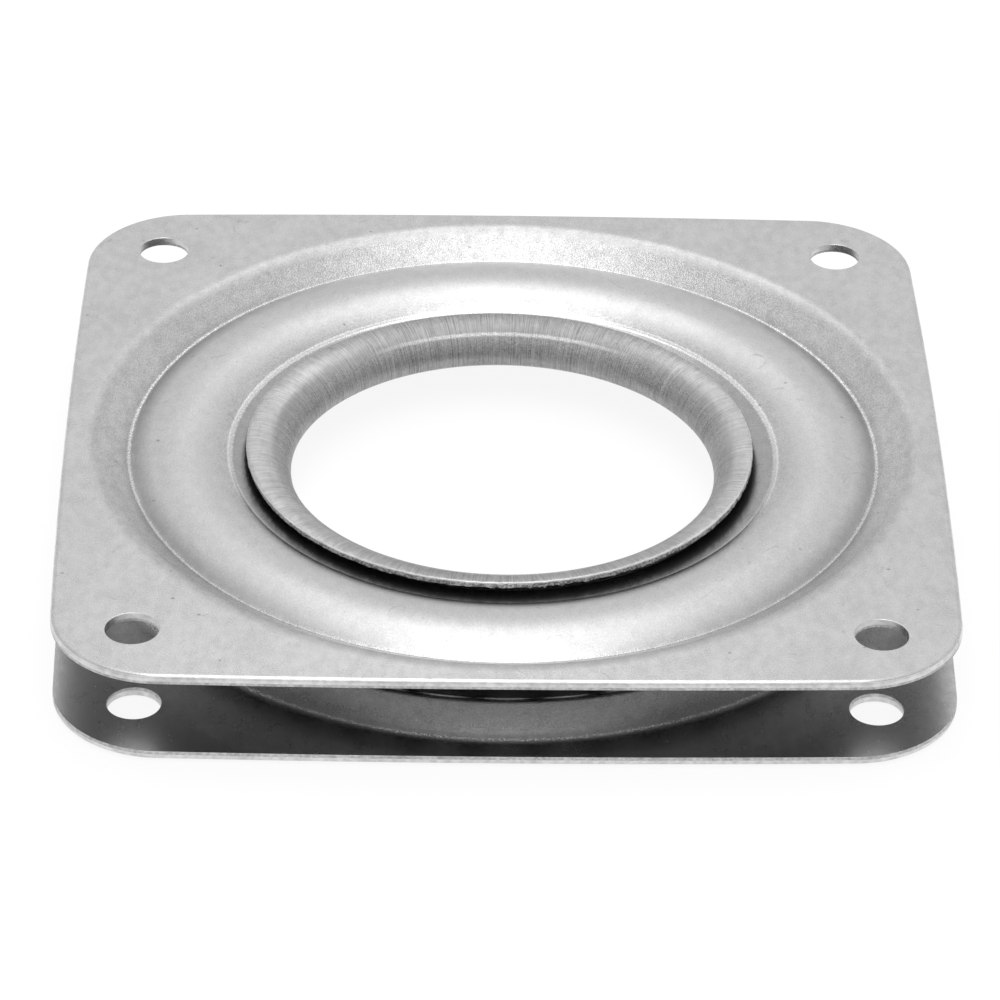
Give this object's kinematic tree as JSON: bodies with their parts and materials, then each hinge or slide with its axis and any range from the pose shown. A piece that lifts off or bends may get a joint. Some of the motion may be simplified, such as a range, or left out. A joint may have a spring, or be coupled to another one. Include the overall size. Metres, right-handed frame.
{
  "type": "lazy susan bearing",
  "caption": "Square stamped-steel swivel bearing: two plates turn on a ring of loose balls and are held together by a rolled centre flange.",
  "frame": {"origin": "centre of the bottom plate's mounting face, on the turning axis", "axes": "+Z is the turning axis, from the bottom plate to the top plate; X and Y are parallel to the plates' sides"},
  "size_m": [0.0762, 0.0762, 0.0083],
  "materials": {
    "bottom_plate_steel": "galvanised, satin",
    "top_plate_steel": "galvanised, satin",
    "ball_steel": "polished"
  },
  "bodies": {
    "base": {"bottom_plate": "bottom_plate_steel"},
    "turntable": {"top_plate": "top_plate_steel"},
    "ball_ring": {"ball_01": "ball_steel", "ball_02": "ball_steel", "ball_03": "ball_steel", "ball_04": "ball_steel", "ball_05": "ball_steel", "ball_06": "ball_steel", "ball_07": "ball_steel", "ball_08": "ball_steel", "ball_09": "ball_steel", "ball_10": "ball_steel", "ball_11": "ball_steel", "ball_12": "ball_steel", "ball_13": "ball_steel", "ball_14": "ball_steel", "ball_15": "ball_steel", "ball_16": "ball_steel", "ball_17": "ball_steel", "ball_18": "ball_steel", "ball_19": "ball_steel", "ball_20": "ball_steel", "ball_21": "ball_steel", "ball_22": "ball_steel", "ball_23": "ball_steel", "ball_24": "ball_steel", "ball_25": "ball_steel", "ball_26": "ball_steel", "ball_27": "ball_steel", "ball_28": "ball_steel", "ball_29": "ball_steel", "ball_30": "ball_steel", "ball_31": "ball_steel", "ball_32": "ball_steel", "ball_33": "ball_steel", "ball_34": "ball_steel", "ball_35": "ball_steel", "ball_36": "ball_steel"}
  },
  "joints": [
    {"name": "turntable_swivel", "type": "hinge", "parent": "base", "child": "turntable", "pos_m": [0, 0, 0.00415], "axis": [0, 0, 1], "continuous": true},
    {"name": "ball_orbit", "type": "hinge", "parent": "base", "child": "ball_ring", "pos_m": [0, 0, 0.00415], "axis": [0, 0, 1], "continuous": true}
  ],
  "couplings": [
    {"joint": "ball_orbit", "follows": "turntable_swivel", "ratio": 0.5}
  ]
}
